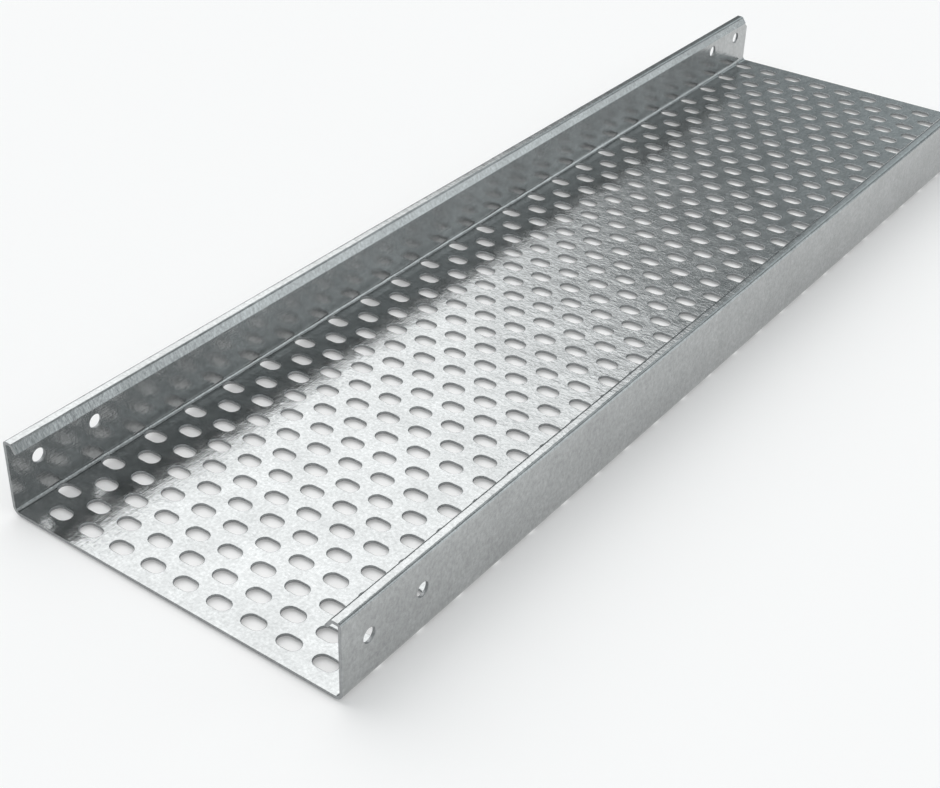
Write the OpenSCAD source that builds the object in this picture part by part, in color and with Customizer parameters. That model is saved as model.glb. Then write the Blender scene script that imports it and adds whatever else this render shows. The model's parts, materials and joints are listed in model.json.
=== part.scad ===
// Perforated cable tray: one sheet, punched with staggered slots and folded up into
// a channel with a sloping return lip along the top of each wall.
// X runs along the tray, Y across it and Z up. The underside of the floor is at Z = 0.
// The plain end is at -X. At +X the upper corners are cut off for the next length.

/* [Tray] */
// Overall length
tray_length = 1075; // [400:5:2000]
// Width over the two walls
tray_width = 300; // [150:5:500]
// Height of the walls over the lips
tray_height = 62.5; // [50:0.5:110]
// Thickness of the sheet
sheet = 2.5; // [1.2:0.1:3]
// Inside radius of the folds between floor and walls
fold_radius = 4; // [1:0.1:6]

/* [Lip] */
// Width of the level top of a lip, from the outside of the wall to the start of the return
lip_width = 7.3; // [7:0.1:12]
// Length of the sloping return
return_length = 8.5; // [5:0.1:14]
// Slope of the return below level
return_angle = 54; // [20:1:65]
// Inside radius of the folds on either side of the level top
lip_radius = 1.8; // [0.8:0.1:2.2]

/* [Slots] */
// Width of a slot, along the tray
slot_width = 12; // [6:0.5:16]
// Length of a slot over its round ends, across the tray
slot_length = 18.5; // [17:0.5:24]
// Distance between columns of slots, along the tray
column_step = 21.2; // [20:0.1:40]
// Distance between the slots of one column, across the tray
slot_pitch = 30.3; // [30:0.1:60]
// Least distance from an end of the tray to the middle of its first column
end_margin = 16; // [12:1:30]
// Least distance from a slot to the inside of a wall. The last slots run into the fold.
wall_margin = 1.8; // [1.5:0.1:6]

/* [Coupling holes] */
// Diameter of the bolt holes in the walls
hole_diameter = 11; // [5:0.5:13]
// Distance from an end of the tray to the first hole
hole_from_end = 26; // [20:1:40]
// Distance between the two holes at an end
hole_spacing = 53; // [30:1:80]
// Height of the holes above the underside
hole_height = 36; // [15:1:38]

/* [Cut end] */
// Length of the corner cut off each wall, and of the lip cut away
corner_length = 26; // [12:1:30]
// Height of the corner cut off each wall
corner_height = 20; // [15:1:24]

/* [Hidden] */
outer_radius = fold_radius + sheet;
flat_half = tray_width / 2 - outer_radius;
lip_outer = lip_radius + sheet;
lip_half = tray_width / 2 - lip_outer;
// A fold this far round takes this much off each straight beside it.
return_tangent = lip_outer * tan(return_angle / 2);
lip_flat = lip_width - lip_outer - return_tangent;
// How far cutters stand out of the sheet
overcut = 2;
// Columns along the tray, and how far from the middle line a slot may stand
columns = floor((tray_length - 2 * end_margin) / column_step) + 1;
slot_reach = tray_width / 2 - sheet - wall_margin - slot_length / 2;
$fn = 48;

// A bend of the sheet about the origin, from one angle to another, less than half a turn on.
module fold(inside, from, to) {
    far = 2 * (inside + sheet);
    middle = (from + to) / 2;
    intersection() {
        difference() {
            circle(r = inside + sheet);
            circle(r = inside);
        }
        polygon([
            [0, 0],
            far * [cos(from), sin(from)],
            far * [cos(middle), sin(middle)],
            far * [cos(to), sin(to)]
        ]);
    }
}

// The sloping return and the fold above it, hung from the inner end of the lip's level top.
// The fold is turned a little too far and then trimmed square where the level top ends.
module lip_return() {
    spare = 5;
    reach = lip_width + return_length;
    intersection() {
        rotate(90 + return_angle) {
            fold(lip_radius, -return_angle - spare, 0);
            translate([lip_radius, 0]) square([sheet, return_length - return_tangent]);
        }
        translate([-reach, -reach]) square([reach, 2 * reach]);
    }
}

// Wall and lip of the +Y side, as a section: Y is drawn to the right and Z up.
module side_section() {
    translate([flat_half, outer_radius]) fold(fold_radius, -90, 0);
    translate([tray_width / 2 - sheet, outer_radius])
        square([sheet, tray_height - outer_radius - lip_outer]);
    translate([lip_half, tray_height - lip_outer]) {
        fold(lip_radius, 0, 90);
        translate([-lip_flat, lip_radius]) square([lip_flat, sheet]);
        translate([-lip_flat, 0]) lip_return();
    }
}

module tray_section() {
    translate([-flat_half, 0]) square([2 * flat_half, sheet]);
    side_section();
    mirror([1, 0]) side_section();
}

module slot() {
    round_at = (slot_length - slot_width) / 2;
    square([slot_width, 2 * round_at], center = true);
    translate([0, round_at]) circle(d = slot_width);
    translate([0, -round_at]) circle(d = slot_width);
}

// Every second column is moved half a pitch across, so the slots are staggered.
module slot_pattern() {
    for (column = [0 : columns - 1]) {
        shift = column % 2 / 2;
        last = floor(slot_reach / slot_pitch + shift) - shift;
        translate([(column - (columns - 1) / 2) * column_step, 0])
            for (place = [-last : last])
                translate([0, place * slot_pitch]) slot();
    }
}

module floor_slots() {
    translate([0, 0, -overcut])
        linear_extrude(height = sheet + 2 * overcut)
        slot_pattern();
}

// Two bolt holes at each end of each wall.
module coupling_holes() {
    for (end = [-1, 1], side = [-1, 1], place = [0, 1])
        translate([
            end * (tray_length / 2 - hole_from_end - place * hole_spacing),
            side * (tray_width - sheet) / 2,
            hole_height
        ])
            rotate([90, 0, 0])
            cylinder(d = hole_diameter, h = sheet + 2 * overcut, center = true);
}

// At the +X end the lips stop short and the walls' corners are cut off at a slant.
module end_cut() {
    start = tray_length / 2 - corner_length;
    inside = tray_width - 2 * sheet;
    // The slanting line is carried on at either end, so that it comes out of the wall.
    rise = overcut * corner_height / corner_length;
    translate([start, -inside / 2, tray_height - corner_height])
        cube([corner_length + overcut, inside, corner_height + overcut]);
    rotate([90, 0, 0])
        linear_extrude(height = tray_width + 2 * overcut, center = true)
        polygon([
            [start - overcut, tray_height + rise],
            [tray_length / 2 + overcut, tray_height - corner_height - rise],
            [tray_length / 2 + overcut, tray_height + rise]
        ]);
}

module cable_tray() {
    color("silver")
        difference() {
            rotate([90, 0, 90])
                linear_extrude(height = tray_length, center = true)
                tray_section();
            floor_slots();
            coupling_holes();
            end_cut();
        }
}

cable_tray();
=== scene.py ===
import bpy
import json
import math
from mathutils import Matrix, Vector


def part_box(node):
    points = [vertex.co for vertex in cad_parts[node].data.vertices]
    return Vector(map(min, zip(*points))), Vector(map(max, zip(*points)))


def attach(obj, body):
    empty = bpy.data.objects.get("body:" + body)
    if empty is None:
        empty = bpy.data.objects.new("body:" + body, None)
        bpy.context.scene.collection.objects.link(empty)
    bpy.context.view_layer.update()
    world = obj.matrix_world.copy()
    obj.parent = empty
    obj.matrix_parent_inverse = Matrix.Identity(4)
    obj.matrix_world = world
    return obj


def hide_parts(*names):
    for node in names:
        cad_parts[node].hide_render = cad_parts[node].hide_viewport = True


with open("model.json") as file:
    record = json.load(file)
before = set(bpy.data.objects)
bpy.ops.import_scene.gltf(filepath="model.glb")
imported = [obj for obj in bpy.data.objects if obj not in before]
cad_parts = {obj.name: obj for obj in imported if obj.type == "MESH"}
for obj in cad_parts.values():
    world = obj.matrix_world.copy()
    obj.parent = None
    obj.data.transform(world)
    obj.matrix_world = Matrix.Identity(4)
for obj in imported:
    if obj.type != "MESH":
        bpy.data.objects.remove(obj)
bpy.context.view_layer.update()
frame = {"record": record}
scene = bpy.context.scene
mm = 0.001


# A small kit for wiring node trees

class Figure:
    # a number inside a tree, which can be used in sums like any other number
    def __init__(self, tree, socket):
        self.tree = tree
        self.socket = socket

    def do(self, operation, *others):
        inputs = dict(enumerate((self, *others)))
        node = add(self.tree, "ShaderNodeMath", inputs, operation=operation)
        return Figure(self.tree, node.outputs[0])

    def __add__(self, other):
        return self.do("ADD", other)

    def __sub__(self, other):
        return self.do("SUBTRACT", other)

    def __rsub__(self, other):
        return (self - other) * -1

    def __mul__(self, other):
        return self.do("MULTIPLY", other)

    def __truediv__(self, other):
        return self.do("DIVIDE", other)

    def __mod__(self, other):
        return self.do("FLOORED_MODULO", other)

    def pick(self, *values):
        # the value whose place in the list is this number
        node = add(self.tree, "GeometryNodeIndexSwitch", data_type="FLOAT")
        while len(node.index_switch_items) < len(values):
            node.index_switch_items.new()
        for place, value in enumerate((self, *values)):
            plug(self.tree, node.inputs[place], value)
        return Figure(self.tree, node.outputs[0])


def plug(tree, socket, value):
    if isinstance(value, Figure):
        value = value.socket
    if isinstance(value, bpy.types.NodeSocket):
        tree.links.new(value, socket)
    else:
        socket.default_value = value


def add(tree, kind, inputs=None, **settings):
    node = tree.nodes.new(kind)
    for name, value in settings.items():
        setattr(node, name, value)
    for key, value in (inputs or {}).items():
        plug(tree, node.inputs[key], value)
    return node


def point(tree, x, y, z=0.0):
    return add(tree, "ShaderNodeCombineXYZ", {0: x, 1: y, 2: z}).outputs[0]


def parts(tree, vector):
    split = add(tree, "ShaderNodeSeparateXYZ", {0: vector})
    return [Figure(tree, output) for output in split.outputs]


def counter(tree):
    return Figure(tree, add(tree, "GeometryNodeInputIndex").outputs[0])


def moved(tree, shape, position):
    inputs = {"Geometry": shape, "Position": position}
    return add(tree, "GeometryNodeSetPosition", inputs).outputs[0]


def welded(tree, shape, gap):
    inputs = {"Geometry": shape, "Distance": gap}
    return add(tree, "GeometryNodeMergeByDistance", inputs).outputs[0]


# The tray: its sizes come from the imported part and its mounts

low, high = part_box("cable_tray")
mounts = {mount["name"]: mount for mount in frame["record"]["mounts"]}
bolts = mounts["coupling_near_left"]
nearSlots = mounts["support_slots_near_outer"]
middleSlots = mounts["support_slots_middle_outer"]
columnsApart = 18  # columns from the near stated slots to the middle ones
pitchesApart = 8  # slot pitches between the two outer stated slots

tray = {
    "length": high.x - low.x,
    "width": high.y - low.y,
    "height": high.z - low.z,
    "sheet": 2.5 * mm,
    "foldRadius": 4 * mm,
    "lipRadius": 0.8 * mm,
    "lipWidth": 8.5 * mm,
    "returnLength": 8 * mm,
    "returnAngle": math.radians(56),
    "slotWidth": 2 * nearSlots["dims"]["hole_r_mm"] * mm,
    "slotLength": nearSlots["dims"]["slot_length_mm"] * mm,
    "columnStep": (middleSlots["pos_m"][0] - nearSlots["pos_m"][0]) / columnsApart,
    "slotPitch": nearSlots["dims"]["spacing_y_mm"] * mm / pitchesApart,
    "columns": 50,
    "slotsAcross": 10,
    "stripColumns": 5,
    "holeDiameter": 2 * bolts["dims"]["hole_r_mm"] * mm,
    "holeMiddle": -bolts["pos_m"][0],
    "holeSpacing": bolts["dims"]["spacing_x_mm"] * mm,
    "holeHeight": bolts["pos_m"][2],
    "cornerLength": 26 * mm,
    "cornerHeight": 20 * mm,
    "rollOver": 0.5 * mm,  # rounding of a punched edge
    "breakOut": 0.6 * mm,  # height of the torn edge below it
    "foldSteps": 8,
    "slotSteps": 9,  # points round each end of a slot
    "holeSteps": 14,
    "sharpAngle": math.radians(50),  # folds beyond this are shaded as edges
    "weld": 0.004 * mm,
}
wholeNumbers = ("columns", "stripColumns", "slotsAcross", "foldSteps", "slotSteps", "holeSteps")


def traySection(tree, size):
    # the folded sheet's outline: sixteen corners, down one face and back along the other
    i = counter(tree)
    along = i.do("MINIMUM", 15 - i)
    corner = along.do("MINIMUM", 7 - along)  # 0 tip of the return, 1 and 2 ends of the lip, 3 foot
    side = 1 - along.do("GREATER_THAN", 3.5) * 2
    inset = i.do("GREATER_THAN", 7.5) * size["sheet"]
    wallY = size["width"] / 2 - inset
    topZ = size["height"] - inset
    angle = size["returnAngle"]
    lipY = size["width"] / 2 - size["lipWidth"]
    cornerY = lipY + inset * (angle / 2).do("TANGENT")
    tipY = lipY - size["returnLength"] * angle.do("COSINE") + inset * angle.do("SINE")
    tipZ = size["height"] - size["returnLength"] * angle.do("SINE") - inset * angle.do("COSINE")
    y = corner.pick(tipY, cornerY, wallY, wallY) * side
    z = corner.pick(tipZ, topZ, topZ, inset)
    ring = add(tree, "GeometryNodeCurvePrimitiveCircle", {"Resolution": 16}).outputs[0]
    outline = moved(tree, ring, point(tree, y, z))
    lipBend = size["lipRadius"] + size["sheet"] - inset
    bend = corner.pick(0.0, lipBend, lipBend, size["foldRadius"] + size["sheet"] - inset)
    inputs = {"Curve": outline, "Radius": bend, "Count": size["foldSteps"]}
    return add(tree, "GeometryNodeFilletCurve", inputs, mode="POLY").outputs[0]


def foldedSheet(tree, size):
    # the rail has its points between columns of slots, so that the floor is made in short strips
    i = counter(tree)
    strips = size["columns"] / size["stripColumns"]
    along = (i - strips / 2 - 1) * size["stripColumns"] * size["columnStep"]
    halfLength = size["length"] / 2
    along = along.do("MINIMUM", halfLength).do("MAXIMUM", halfLength * -1)
    line = add(tree, "GeometryNodeCurvePrimitiveLine").outputs[0]
    line = add(tree, "GeometryNodeResampleCurve", {"Curve": line, "Count": strips + 3}).outputs[0]
    rail = moved(tree, line, point(tree, 0.0, 0.0, along))
    inputs = {"Curve": rail, "Profile Curve": traySection(tree, size), "Fill Caps": True}
    channel = add(tree, "GeometryNodeCurveToMesh", inputs).outputs[0]
    channel = add(tree, "GeometryNodeFlipFaces", {0: channel}).outputs[0]
    across, up, along = parts(tree, add(tree, "GeometryNodeInputPosition").outputs[0])
    return moved(tree, channel, point(tree, along, across, up))


def punchTube(tree, size, length, width, steps, levels):
    # an upright tube with the outline of a round-ended hole
    # levels are (growth, height) from the top down
    inputs = {"Vertices": steps * 2, "Side Segments": len(levels) - 1}
    shape = add(tree, "GeometryNodeMeshCylinder", inputs, fill_type="NGON").outputs[0]
    i = counter(tree)
    level = (i / (steps * 2)).do("FLOOR")
    half = (i % (steps * 2) / steps).do("FLOOR")
    angle = (i % steps / (steps - 1) + half) * math.pi
    radius = width / 2 + level.pick(*[growth for growth, height in levels])
    x = radius * angle.do("COSINE")
    y = radius * angle.do("SINE") + (length - width) / 2 * (1 - half * 2)
    z = level.pick(*[height for growth, height in levels])
    return welded(tree, moved(tree, shape, point(tree, x, y, z)), size["weld"])


def punchTool(tree, size, length, width, steps):
    # what a punch takes out of the sheet: it leaves the edge rolled over on top and torn out below
    sheet, roll, torn = size["sheet"], size["rollOver"], size["breakOut"]
    bevel = 1 - math.sqrt(0.5)
    flare = roll * (2 - bevel)
    levels = [
        (flare, sheet * 3),
        (flare, sheet + roll * bevel),
        (roll * bevel, sheet - roll * bevel),
        (0.0, sheet - roll),
        (0.0, torn),
        (roll * 2, torn * -1),
        (roll * 2, sheet * -1),
    ]
    return punchTube(tree, size, length, width, steps, levels)


def placed(tree, points, shape, rotation=None):
    inputs = {"Points": points, "Instance": shape}
    if rotation:
        inputs["Rotation"] = rotation
    instances = add(tree, "GeometryNodeInstanceOnPoints", inputs).outputs[0]
    return add(tree, "GeometryNodeRealizeInstances", {0: instances}).outputs[0]


def floorPlaces(tree, size):
    # every second column has one slot less and stands half a pitch over
    i = counter(tree)
    column = (i / size["slotsAcross"]).do("FLOOR")
    row = i % size["slotsAcross"] + (1 - column % 2) / 2
    x = (column - (size["columns"] - 1) / 2) * size["columnStep"]
    y = (row - (size["slotsAcross"] - 1) / 2) * size["slotPitch"]
    inputs = {"Count": size["columns"] * size["slotsAcross"], "Position": point(tree, x, y)}
    grid = add(tree, "GeometryNodePoints", inputs).outputs[0]
    spare = row.do("GREATER_THAN", size["slotsAcross"] - 0.75)
    return add(tree, "GeometryNodeDeleteGeometry", {"Geometry": grid, "Selection": spare}).outputs[0]


def wallPlaces(tree, size):
    # two holes at each end of each wall, with the punched side out
    i = counter(tree)
    place = i % 2 - 0.5
    end = 1 - (i / 2).do("FLOOR") % 2 * 2
    side = 1 - (i / 4).do("FLOOR") * 2
    x = (size["holeMiddle"] + place * size["holeSpacing"]) * end
    y = (size["width"] / 2 - size["sheet"]) * side
    inputs = {"Count": 8, "Position": point(tree, x, y, size["holeHeight"])}
    spots = add(tree, "GeometryNodePoints", inputs).outputs[0]
    turn = point(tree, side * (math.pi / -2), 0.0, 0.0)
    return spots, add(tree, "FunctionNodeEulerToRotation", {0: turn}).outputs[0]


def block(tree, middle, sides, slant=0.0):
    cube = add(tree, "GeometryNodeMeshCube", {"Size": point(tree, *sides)}).outputs[0]
    turn = add(tree, "FunctionNodeEulerToRotation", {0: point(tree, 0.0, slant, 0.0)}).outputs[0]
    inputs = {"Geometry": cube, "Translation": point(tree, *middle), "Rotation": turn}
    return add(tree, "GeometryNodeTransform", inputs).outputs[0]


def endCuts(tree, size):
    # at +X the lips stop short and the upper corners of the walls come off at a slant
    end, top = size["length"] / 2, size["height"]
    back, down = size["cornerLength"], size["cornerHeight"]
    inside = size["width"] - size["sheet"] * 2
    lipBlock = block(tree, (end, 0.0, top), (back * 2, inside, down * 2))
    slant = down.do("ARCTAN2", back)
    x = end - back / 2 + back * slant.do("SINE")
    z = top - down / 2 + back * slant.do("COSINE")
    wider = size["width"] * 1.1  # clear of both walls
    return lipBlock, block(tree, (x, 0.0, z), (back * 2, wider, back * 2), slant)


def marked(tree, shape, value):
    # sheared and punched edges are told apart by a number on their faces
    inputs = {"Geometry": shape, "Name": "cutEdge", "Value": value}
    return add(tree, "GeometryNodeStoreNamedAttribute", inputs, domain="FACE").outputs[0]


def perforatedTray(tree, size):
    slotTool = punchTool(tree, size, size["slotLength"], size["slotWidth"], size["slotSteps"])
    holeTool = punchTool(tree, size, size["holeDiameter"], size["holeDiameter"], size["holeSteps"])
    wallSpots, wallTurn = wallPlaces(tree, size)
    cutters = [
        placed(tree, floorPlaces(tree, size), slotTool),
        placed(tree, wallSpots, holeTool, wallTurn),
        *endCuts(tree, size),
    ]
    normalX = parts(tree, add(tree, "GeometryNodeInputNormal").outputs[0])[0]
    sheet = marked(tree, foldedSheet(tree, size), normalX.do("ABSOLUTE").do("GREATER_THAN", 0.5))
    settings = {"operation": "DIFFERENCE", "solver": "MANIFOLD"}
    body = add(tree, "GeometryNodeMeshBoolean", {"Mesh 1": sheet}, **settings)
    for cutter in cutters:
        tree.links.new(marked(tree, cutter, 1.0), body.inputs["Mesh 2"])
    whole = add(tree, "GeometryNodeSetShadeSmooth", {"Geometry": body.outputs[0]}).outputs[0]
    angle = Figure(tree, add(tree, "GeometryNodeInputMeshEdgeAngle").outputs[0])
    sharp = angle.do("GREATER_THAN", size["sharpAngle"])
    inputs = {"Geometry": whole, "Selection": sharp, "Shade Smooth": False}
    return add(tree, "GeometryNodeSetShadeSmooth", inputs, domain="EDGE").outputs[0]


def makeTray(material):
    tree = bpy.data.node_groups.new("perforatedTray", "GeometryNodeTree")
    tree.interface.new_socket("Tray", in_out="OUTPUT", socket_type="NodeSocketGeometry")
    for name in tray:
        kind = "NodeSocketInt" if name in wholeNumbers else "NodeSocketFloat"
        tree.interface.new_socket(name, in_out="INPUT", socket_type=kind)
    source = tree.nodes.new("NodeGroupInput")
    size = {name: Figure(tree, source.outputs[name]) for name in tray}
    whole = add(tree, "GeometryNodeRealizeInstances", {0: perforatedTray(tree, size)}).outputs[0]
    whole = add(tree, "GeometryNodeSetMaterial", {"Geometry": whole, "Material": material}).outputs[0]
    add(tree, "NodeGroupOutput", {0: whole})

    blank = bpy.data.objects.new("trayBlank", bpy.data.meshes.new("trayBlank"))
    scene.collection.objects.link(blank)
    maker = blank.modifiers.new("perforatedTray", "NODES")
    maker.node_group = tree
    for item in tree.interface.items_tree:
        if item.in_out == "INPUT":
            maker[item.identifier] = tray[item.name]
    blank.modifiers.new("evenShading", "WEIGHTED_NORMAL").keep_sharp = True
    depsgraph = bpy.context.evaluated_depsgraph_get()
    mesh = bpy.data.meshes.new_from_object(blank.evaluated_get(depsgraph), depsgraph=depsgraph)
    bpy.data.objects.remove(blank)
    shell = bpy.data.objects.new("trayShell", mesh)
    scene.collection.objects.link(shell)
    return shell


# Galvanised steel: spangle, smudges, a fine speckle and the rolling mill's faint lines along the sheet

galvanised = {
    "base": (0.455, 0.465, 0.465),
    "cutBase": (0.37, 0.38, 0.385),
    "roughness": 0.145,
    "cutRoughness": 0.5,
    "dish": 3.2 * mm,  # how far the floor's sheen hollows towards its middle
    "dishReach": 136.5 * mm,
}

# Each pattern's size is its span, and detail and fine set the grain in it
# Over its reach it shifts the tone or the roughness, and height is for the bump
patterns = {
    "spangle": {"span": 9 * mm, "reach": (0.0, 1.0), "tone": (0.97, 1.03), "rough": (-0.02, 0.02)},
    "smudge": {"span": 60 * mm, "detail": 6.0, "fine": 0.62,
               "reach": (0.35, 0.75), "tone": (1.0, 0.88), "rough": (0.0, 0.07)},
    "speckle": {"span": 2.4 * mm, "detail": 2.0, "fine": 0.6, "reach": (0.3, 0.7), "tone": (0.89, 1.11)},
    "mottle": {"span": 2.4 * mm, "detail": 3.0, "fine": 0.6, "squeeze": (1.0, 0.5, 0.6),
               "reach": (0.3, 0.7), "tone": (0.92, 1.08), "height": 0.13 * mm},
    "ripple": {"span": 14 * mm, "detail": 2.0, "fine": 0.5, "height": 0.25 * mm},
    "rolling": {"span": 0.8 * mm, "detail": 1.0, "fine": 0.5, "squeeze": (0.05, 1.0, 1.0),
                "height": 0.06 * mm},
    "wave": {"span": 160 * mm, "detail": 1.0, "fine": 0.5, "height": 0.8 * mm},
}


def noise(tree, coords, look):
    if "squeeze" in look:
        coords = add(tree, "ShaderNodeMapping", {"Vector": coords, "Scale": look["squeeze"]}).outputs[0]
    grain = {"Detail": look["detail"], "Roughness": look["fine"]}
    inputs = {"Vector": coords, "Scale": 1 / look["span"], **grain}
    return Figure(tree, add(tree, "ShaderNodeTexNoise", inputs).outputs["Fac"])


def ranged(tree, value, reach, result):
    inputs = dict(enumerate((value, *reach, *result)))
    return Figure(tree, add(tree, "ShaderNodeMapRange", inputs).outputs[0])


def makeGalvanised():
    material = bpy.data.materials.new("galvanisedSteel")
    material.use_nodes = True
    tree = material.node_tree
    shader = tree.nodes["Principled BSDF"]
    shader.inputs["Metallic"].default_value = 1.0
    coords = add(tree, "ShaderNodeTexCoord").outputs["Object"]
    cellScale = 1 / patterns["spangle"]["span"]
    cells = add(tree, "ShaderNodeTexVoronoi", {"Vector": coords, "Scale": cellScale})
    drawn = {"spangle": parts(tree, cells.outputs["Color"])[0]}
    for name, look in patterns.items():
        if name != "spangle":
            drawn[name] = noise(tree, coords, look)
    cut = Figure(tree, add(tree, "ShaderNodeAttribute", attribute_name="cutEdge").outputs["Fac"])

    def shift(name, kind):
        return ranged(tree, drawn[name], patterns[name]["reach"], patterns[name][kind])

    tone = shift("smudge", "tone") * shift("spangle", "tone")
    tone = tone * shift("speckle", "tone") * shift("mottle", "tone")
    inputs = {0: cut, 6: (*galvanised["base"], 1), 7: (*galvanised["cutBase"], 1)}
    plain = add(tree, "ShaderNodeMix", inputs, data_type="RGBA").outputs[2]
    colour = add(tree, "ShaderNodeVectorMath", {0: plain, "Scale": tone}, operation="SCALE").outputs[0]
    tree.links.new(colour, shader.inputs["Base Color"])

    rough = shift("smudge", "rough") + shift("spangle", "rough") + galvanised["roughness"]
    rough = rough + cut * (galvanised["cutRoughness"] - galvanised["roughness"])
    plug(tree, shader.inputs["Roughness"], rough)

    height = drawn["mottle"] * patterns["mottle"]["height"]
    for name in ("ripple", "rolling", "wave"):
        height = height + drawn[name] * patterns[name]["height"]
    across = parts(tree, coords)[1].do("ABSOLUTE").do("MINIMUM", galvanised["dishReach"])
    height = height + (across / galvanised["dishReach"]).do("POWER", 2.0) * galvanised["dish"]
    bump = add(tree, "ShaderNodeBump", {"Height": height, "Distance": 1.0, "Strength": 1.0})
    tree.links.new(bump.outputs[0], shader.inputs["Normal"])
    return material


steel = makeGalvanised()
shell = makeTray(steel)
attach(shell, "root")
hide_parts("cable_tray")
print("tray made:", len(shell.data.vertices), "points,", len(shell.data.polygons), "faces")

# The floor it lies on

ground = {
    "span": 30.0,
    "colour": (0.94, 0.93, 0.925),
    "roughness": 0.8,
    "gap": 1.7 * mm,
    "glow": 0.94,  # how white it shows by itself
    "shadowLift": 0.25,  # how far that lightens the shadows
}


def makeGround():
    half = ground["span"] / 2
    mesh = bpy.data.meshes.new("floor")
    corners = [(-half, -half), (half, -half), (half, half), (-half, half)]
    mesh.from_pydata([(x, y, low.z - ground["gap"]) for x, y in corners], [], [(0, 1, 2, 3)])
    floor = bpy.data.objects.new("floor", mesh)
    scene.collection.objects.link(floor)
    material = bpy.data.materials.new("palePaper")
    material.use_nodes = True
    tree = material.node_tree
    shader = tree.nodes["Principled BSDF"]
    shader.inputs["Base Color"].default_value = (*ground["colour"], 1)
    shader.inputs["Roughness"].default_value = ground["roughness"]
    shader.inputs["Specular IOR Level"].default_value = 0.0
    ray = add(tree, "ShaderNodeLightPath").outputs
    seen = Figure(tree, ray["Is Camera Ray"])
    for kind in ("Is Glossy Ray", "Is Transmission Ray"):
        seen = seen.do("MAXIMUM", ray[kind])
    glow = add(tree, "ShaderNodeEmission", {"Strength": ground["glow"]}).outputs[0]
    inputs = {0: seen * ground["shadowLift"], 1: shader.outputs[0], 2: glow}
    lifted = add(tree, "ShaderNodeMixShader", inputs).outputs[0]
    tree.links.new(lifted, tree.nodes["Material Output"].inputs["Surface"])
    mesh.materials.append(material)
    return floor


floor = makeGround()

# Studio light: a dim room with a few large soft boxes
# Headings, heights and reaches are in degrees; cool is the share of the cool tint

studio = {
    "room": {"strength": 0.208, "cool": 1.0},
    "main": {"heading": 72, "height": 53, "inner": 34, "outer": 41, "strength": 1.74, "cool": 0.0},
    "front": {"heading": -95, "height": 54, "inner": 15, "outer": 36, "strength": 1.31, "cool": 0.0},
    "side": {"heading": -43, "height": 15, "inner": 6, "outer": 23, "strength": 0.94, "cool": 0.5},
    "edge": {"heading": -14, "height": 46, "inner": 4, "outer": 15, "strength": 0.6, "cool": 0.5},
    "far": {"heading": 4, "height": 25, "inner": 8, "outer": 20, "strength": 0.62, "cool": 1.0},
    "near": {"heading": 172, "height": 28, "inner": 10, "outer": 30, "strength": 0.4, "cool": 1.0},
}
coolTint = (0.9, 1.0, 1.03)


def makeStudio():
    world = bpy.data.worlds.new("studio")
    world.use_nodes = True
    scene.world = world
    tree = world.node_tree
    toward = add(tree, "ShaderNodeTexCoord").outputs["Generated"]
    light = (0.0, 0.0, 0.0)
    for box in studio.values():
        glow = box["strength"]
        if "heading" in box:
            heading, height = math.radians(box["heading"]), math.radians(box["height"])
            level = math.cos(height)
            middle = (math.cos(heading) * level, math.sin(heading) * level, math.sin(height))
            facing = add(tree, "ShaderNodeVectorMath", {0: toward, 1: middle}, operation="DOT_PRODUCT")
            edges = [math.cos(math.radians(box[name])) for name in ("outer", "inner")]
            inputs = {0: facing.outputs["Value"], 1: edges[0], 2: edges[1], 3: 0.0, 4: glow}
            glow = add(tree, "ShaderNodeMapRange", inputs, interpolation_type="SMOOTHSTEP").outputs[0]
        tint = [1 + (shade - 1) * box["cool"] for shade in coolTint]
        inputs = {0: tint, "Scale": glow}
        tinted = add(tree, "ShaderNodeVectorMath", inputs, operation="SCALE").outputs[0]
        light = add(tree, "ShaderNodeVectorMath", {0: tinted, 1: light}, operation="ADD").outputs[0]
    backing = tree.nodes["Background"]
    tree.links.new(light, backing.inputs["Color"])
    backing.inputs["Strength"].default_value = 1.0


makeStudio()
print("studio lit with", len(studio) - 1, "soft boxes")

# The camera stands where the photograph was taken from

view = {
    "place": (-1.06375, -0.60593, 0.69134),
    "heading": 53.143,  # degrees from +Y towards +X
    "down": 32.606,
    "roll": 0.844,
    "focal": 1582.77,  # in pixels of the image
    "centre": (429.14, 360.18),
    "image": (940, 788),
    "sensor": 36.0,
}


def makeCamera():
    heading, down, roll = (math.radians(view[name]) for name in ("heading", "down", "roll"))
    level = math.cos(down)
    forward = Vector((math.sin(heading) * level, math.cos(heading) * level, -math.sin(down)))
    right = Vector((math.cos(heading), -math.sin(heading), 0.0))
    right = right * math.cos(roll) + right.cross(forward) * math.sin(roll)
    up = right.cross(forward)
    data = bpy.data.cameras.new("camera")
    wide, tall = view["image"]
    data.sensor_width = view["sensor"]
    data.lens = view["focal"] * view["sensor"] / wide
    data.shift_x = (wide / 2 - view["centre"][0]) / wide
    data.shift_y = (view["centre"][1] - tall / 2) / wide
    camera = bpy.data.objects.new("camera", data)
    turn = Matrix((right, up, -forward)).transposed().to_4x4()
    camera.matrix_world = Matrix.Translation(view["place"]) @ turn
    scene.collection.objects.link(camera)
    return camera


scene.camera = makeCamera()
scene.view_settings.view_transform = "Standard"
